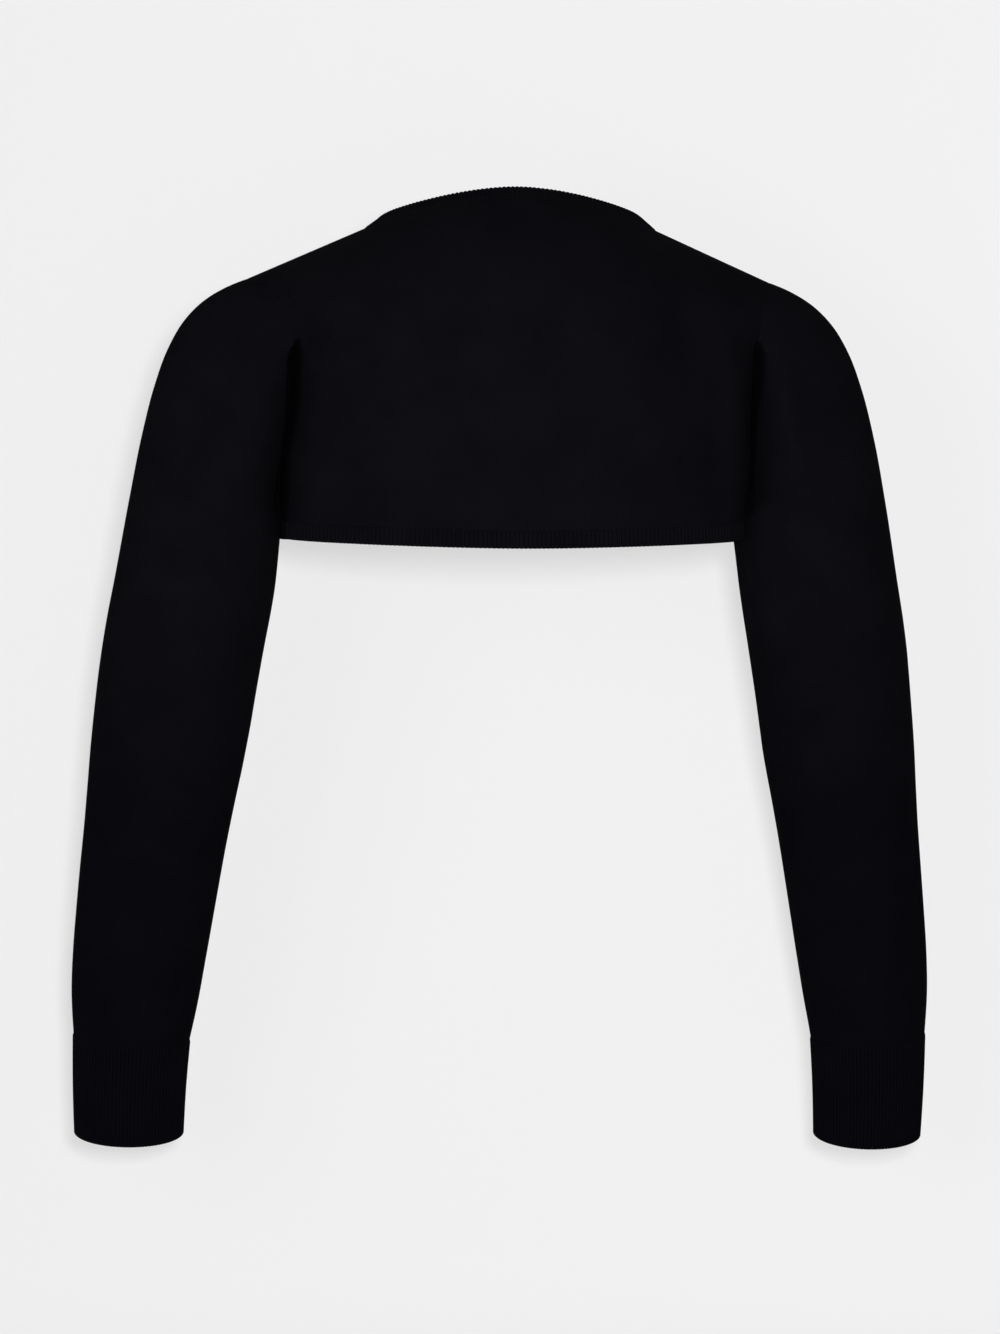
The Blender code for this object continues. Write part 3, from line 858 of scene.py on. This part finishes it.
cuff = {
    "start": (0.294, 0.046, -0.5586),  # the outside of the right cuff, at its seam
    "ribs": 92,
    "rows": 19,  # lines of points from one line of the model's grid to the next
    "flat": (0.216, 0.074),
    "seamDrops": (0.0003, 0.0001),  # how far the ribs turn in at the seam
    "ribStart": 0.0015,  # how far below the seam the ribs have their full height
    "hemDrops": (0.0011, 0.0004),  # how far the free edge rounds in
    "insideTurn": 0.4,  # the part of these drops by which the inside turns out
}

for side in sides:
    start = mirroredPoint(cuff["start"], side)
    grid, normals = nodeGrid("cuff_" + side, start, Vector((0, -1, 0)), insideSkin=True)
    across = cuff["ribs"] * rib["stations"] // grid.shape[1]
    plain = withTurns(surfaceThrough(grid, (across, cuff["rows"]), closed=True), True)
    away = outwardNormals(plain, True, grid, normals)
    counts = np.arange(plain.shape[1] + 1) / rib["stations"]
    drops = turnDrops(plain.shape[:2], True, cuff["seamDrops"])
    for i, drop in enumerate(cuff["hemDrops"]):
        drops[-1 - i] = drop
    down = lengthsAlong(plain[:, 0])
    grown = np.clip(down / cuff["ribStart"], 0, 1)[:, None]
    raised = cloth["ribWall"] + ribRise(counts[:-1]) * grown - drops
    outer = plain + away * raised[..., None]
    inner = plain + away * (drops * cuff["insideTurn"])[..., None]
    loops = np.stack(np.meshgrid(counts, (down[-1] - down) / rib["course"]), axis=-1)
    made = clothPiece("cuff_ribs_" + side, outer, inner, True, loops, [blackRib])
    dress(made, "cuff_" + side)
    saySize("the cuff " + side, plain, True)
print("cuffs made")


# The bands along the neckline, the front edges and the hem

band = {
    "width": 0.012,
    "pitch": 0.0030,
    "reach": 0.0002,  # how far it reaches into the cloth that it is joined to
    "endGap": 0.00015,  # between each end of the band and the seam's
    # lines of points across the band, from the seam, and how far each turns in outside and inside
    "lines": (0.0, 0.0003, 0.0008, 0.0025, 0.0045, 0.0065, 0.0085, 0.0100, 0.0109, 0.0115, 0.0117),
    "drops": (0.0006, 0.0002, 0, 0, 0, 0, 0, 0.00005, 0.0003, 0.0008, 0.0014),
    "insideDrops": (0, 0, 0, 0, 0, 0, 0, 0, 0.0001, 0.0002, 0.0004),
    "scallop": 0.0003,  # how far the ribs reach past the grooves at the free edge
    "scallopCurve": 4,  # how late across the band it starts
    "easing": 0.010,  # the length over which the band turns at a corner
    "lengths": {"neck": 0.234, "hem": 0.450, "front": 0.324},  # of their flat sheets
}


def averaged(directions, places, reach):
    # Directions averaged over a stretch of the band.
    out = np.empty_like(directions)
    for k in range(3):
        means = (directions[1:, k] + directions[:-1, k]) / 2
        total = np.concatenate([[0], np.cumsum(means * np.diff(places))])
        low = np.clip(places - reach, places[0], places[-1])
        high = np.clip(places + reach, places[0], places[-1])
        out[:, k] = (np.interp(high, places, total) - np.interp(low, places, total)) / (high - low)
    return unit(out)


def ribbedBand(name, node, seam, seamNormals):
    seamPlaces = lengthsAlong(seam)
    grid, _ = nodeGrid(node, seam[0], Vector(seam[1] - seam[0]).normalized(), insideSkin=True)
    cadPlaces = lengthsAlong(grid[0])
    cadPlaces = cadPlaces / cadPlaces[-1] * seamPlaces[-1]
    outwards = averaged(unit(grid[1] - grid[0]), cadPlaces, band["easing"] / 2)
    ribs = round((seamPlaces[-1] - 2 * band["endGap"]) / band["pitch"])
    places = np.linspace(band["endGap"], seamPlaces[-1] - band["endGap"], ribs * rib["stations"] + 1)
    counts = np.arange(len(places)) / rib["stations"]

    def at(values, where):
        return np.stack([np.interp(places, where, values[:, k]) for k in range(3)], axis=-1)

    line, out = at(seam, seamPlaces), unit(at(outwards, cadPlaces))
    tangent = unit(np.gradient(line, axis=0))
    tangent = averaged(tangent, places, band["easing"] / 2)
    up = unit(np.cross(tangent, out))
    up *= np.sign((up * at(seamNormals, seamPlaces)).sum())
    rises = ribRise(counts)
    lines = np.array(band["lines"])[:, None]
    scallop = band["scallop"] * rises / rib["rise"] * (lines / band["width"]) ** band["scallopCurve"]
    spread = line + out * (lines + scallop - band["reach"])[..., None]
    raised = rises - np.array(band["drops"])[:, None]
    outer = spread + up * raised[..., None]
    inner = spread - up * (cloth["ribWall"] - np.array(band["insideDrops"]))[:, None, None]
    loops = np.stack(np.meshgrid(counts, (band["width"] - lines[:, 0]) / rib["course"]), axis=-1)
    made = clothPiece(name, outer, inner, False, loops, [blackRib])
    dress(made, node)
    saySize(name, inner, False)


# The neck band lies between the cells of the model's grid where the shoulders end.
neckCells = (back["shoulderCells"], backGrid.shape[1] - 1 - back["shoulderCells"])
neckStart, neckEnd = (cell * back["steps"][0] + len(cloth["turnPlaces"]) for cell in neckCells)
for name, node, row, run, kind in (
    ("neck_band", "neckband", 0, slice(neckStart, neckEnd + 1), "neck"),
    ("hem_band_ribs", "hem_band", -1, slice(None), "hem"),
):
    ribbedBand(name, node, backFine[row, run], backAway[row, run])
for side in sides:
    # The seam runs down the front's free edge and along its lower one.
    seam, seamNormals = (np.concatenate([grid[:, 0], grid[-1, 1:]]) for grid in frontCloth[side])
    name, node = "front_band_ribs_" + side, "front_band_" + side
    ribbedBand(name, node, seam, seamNormals)
print("bands made")


# The floor, the backdrop, the lights and the camera

studio = {
    "backdropFore": 0.17,  # how far in front of the wearer's middle the backdrop stands
    "floorRise": -0.84,
    "coveRadius": 0.12,
    "coveStations": 17,  # lines of points round the cove
    "halfWidth": 2.2,
    "height": 1.9,
    "floorDepth": 3.2,
    "paper": (0.36, 0.36, 0.36, 1.0),
    "paperRoughness": 0.95,
    "paperGloss": 0.1,
    "paperGlow": 0.642,  # the part of the paper's brightness that no shadow takes away
    "glowSlope": 0.05,  # how much stronger it is for each metre to the right
    "worldShown": (0.863, 0.863, 0.863, 1.0),
    "worldLight": 0.08,
    # place, target, size and power
    "lights": {
        "keyLight": ((-0.20, -3.46, -0.12), (0, 0, -0.31), 0.30, 62),
        "leftLight": ((-1.7, -2.4, 0.0), (-0.1, 0, -0.3), 1.4, 9),
        "frontLight": ((0.36, 3.4, -0.1), (0, 0, -0.3), 0.3, 50),  # behind the paper, for the fronts
    },
}
white = (1, 1, 1, 1)


def mixShaders(tree, share, first, second, outputName):
    # Feeds an output with the first shader where share is 0 and with the second where it is 1.
    choose = tree.nodes.new("ShaderNodeMixShader")
    for socket, value in zip(choose.inputs, (share, first, second)):
        tree.links.new(value, socket)
    tree.links.new(choose.outputs["Shader"], tree.nodes[outputName].inputs["Surface"])


def paperMaterial():
    # Pale paper that is only there from its front, so that it hides nothing from behind, and that
    # lets the light behind it through to the fronts.
    made = bpy.data.materials.new("palePaper")
    made.use_nodes = True
    tree = made.node_tree
    rays = tree.nodes.new("ShaderNodeLightPath").outputs
    place = tree.nodes.new("ShaderNodeTexCoord").outputs["Object"]
    across = addNode(tree, "ShaderNodeSeparateXYZ", {"Vector": place}).outputs["X"]
    glow = mathNode(tree, "MULTIPLY", across, studio["glowSlope"])
    glow = mathNode(tree, "ADD", glow, studio["paperGlow"])
    glow = mathNode(tree, "MULTIPLY", rays["Is Camera Ray"], glow)
    paper = tree.nodes["Principled BSDF"]
    inputs = {
        "Base Color": studio["paper"],
        "Roughness": studio["paperRoughness"],
        "Specular IOR Level": studio["paperGloss"],
        "Emission Color": white,
        "Emission Strength": glow,
    }
    setInputs(tree, paper, inputs)
    clear = tree.nodes.new("ShaderNodeBsdfTransparent")
    behind = tree.nodes.new("ShaderNodeNewGeometry").outputs["Backfacing"]
    away = mathNode(tree, "MAXIMUM", behind, rays["Is Shadow Ray"])
    mixShaders(tree, away, paper.outputs["BSDF"], clear.outputs["BSDF"], "Material Output")
    return made


def makeBackdrop():
    # A sheet of paper from the top of the backdrop, round a cove and forward along the floor.
    wall, floor, r = studio["backdropFore"], studio["floorRise"], studio["coveRadius"]
    turn = np.radians(np.linspace(0, 90, studio["coveStations"]))
    cove = [(wall - r + r * math.cos(a), floor + r - r * math.sin(a)) for a in turn]
    profile = [(wall, floor + studio["height"])] + cove + [(wall - studio["floorDepth"], floor)]
    half = studio["halfWidth"]
    points = [(x, y, z) for y, z in profile for x in (-half, half)]
    faces = [(2 * i, 2 * i + 2, 2 * i + 3, 2 * i + 1) for i in range(len(profile) - 1)]
    mesh = bpy.data.meshes.new("backdrop")
    mesh.from_pydata(points, [], faces)
    mesh.materials.append(paperMaterial())
    mesh.update()
    if mesh.polygons[0].normal.y > 0:
        mesh.flip_normals()
    mesh.shade_smooth()
    sheet = bpy.data.objects.new("backdrop", mesh)
    bpy.context.scene.collection.objects.link(sheet)


def addLight(name, place, target, size, power):
    data = bpy.data.lights.new(name, "AREA")
    data.shape = "SQUARE"
    data.size = size
    data.energy = power
    lamp = bpy.data.objects.new(name, data)
    lamp.location = place
    lamp.rotation_euler = (Vector(target) - Vector(place)).to_track_quat("-Z", "Y").to_euler()
    bpy.context.scene.collection.objects.link(lamp)


def makeWorld():
    # What the camera sees past the paper, and a faint light from all round.
    world = bpy.data.worlds.new("paleStudio")
    world.use_nodes = True
    bpy.context.scene.world = world
    tree = world.node_tree
    shown = tree.nodes["Background"]
    setInputs(tree, shown, {"Color": studio["worldShown"]})
    light = addNode(tree, "ShaderNodeBackground", {"Color": white, "Strength": studio["worldLight"]})
    cameraRay = tree.nodes.new("ShaderNodeLightPath").outputs["Is Camera Ray"]
    mixShaders(tree, cameraRay, light.outputs["Background"], shown.outputs["Background"], "World Output")


makeBackdrop()
makeWorld()
for name, settings in studio["lights"].items():
    addLight(name, *settings)

view = {
    "azimuth": -6,  # degrees round from looking along +Y
    "distance": 3.5,
    "pictureWidth": 0.68,  # metres that the picture spans at the origin
    "pictureShape": (1000, 1334),
    "originAcross": 0.0061,  # how far right of the picture's middle the origin is
    "height": -0.3064,
    "sensorWidth": 36,
}


def makeCamera():
    turn = math.radians(view["azimuth"])
    ahead = Vector((-math.sin(turn), math.cos(turn), 0))
    right = Vector((math.cos(turn), math.sin(turn), 0))
    data = bpy.data.cameras.new("camera")
    data.sensor_width = view["sensorWidth"]
    across, down = view["pictureShape"]
    # The sensor's width spans the picture's longer side, which is its height.
    data.lens = view["sensorWidth"] * view["distance"] / (view["pictureWidth"] * down / across)
    camera = bpy.data.objects.new("camera", data)
    place = -ahead * view["distance"] - right * view["originAcross"]
    camera.location = (place.x, place.y, view["height"])
    camera.rotation_euler = ahead.to_track_quat("-Z", "Y").to_euler()
    bpy.context.scene.collection.objects.link(camera)
    bpy.context.scene.camera = camera


makeCamera()
bpy.context.scene.view_settings.view_transform = "Standard"
print("studio made")
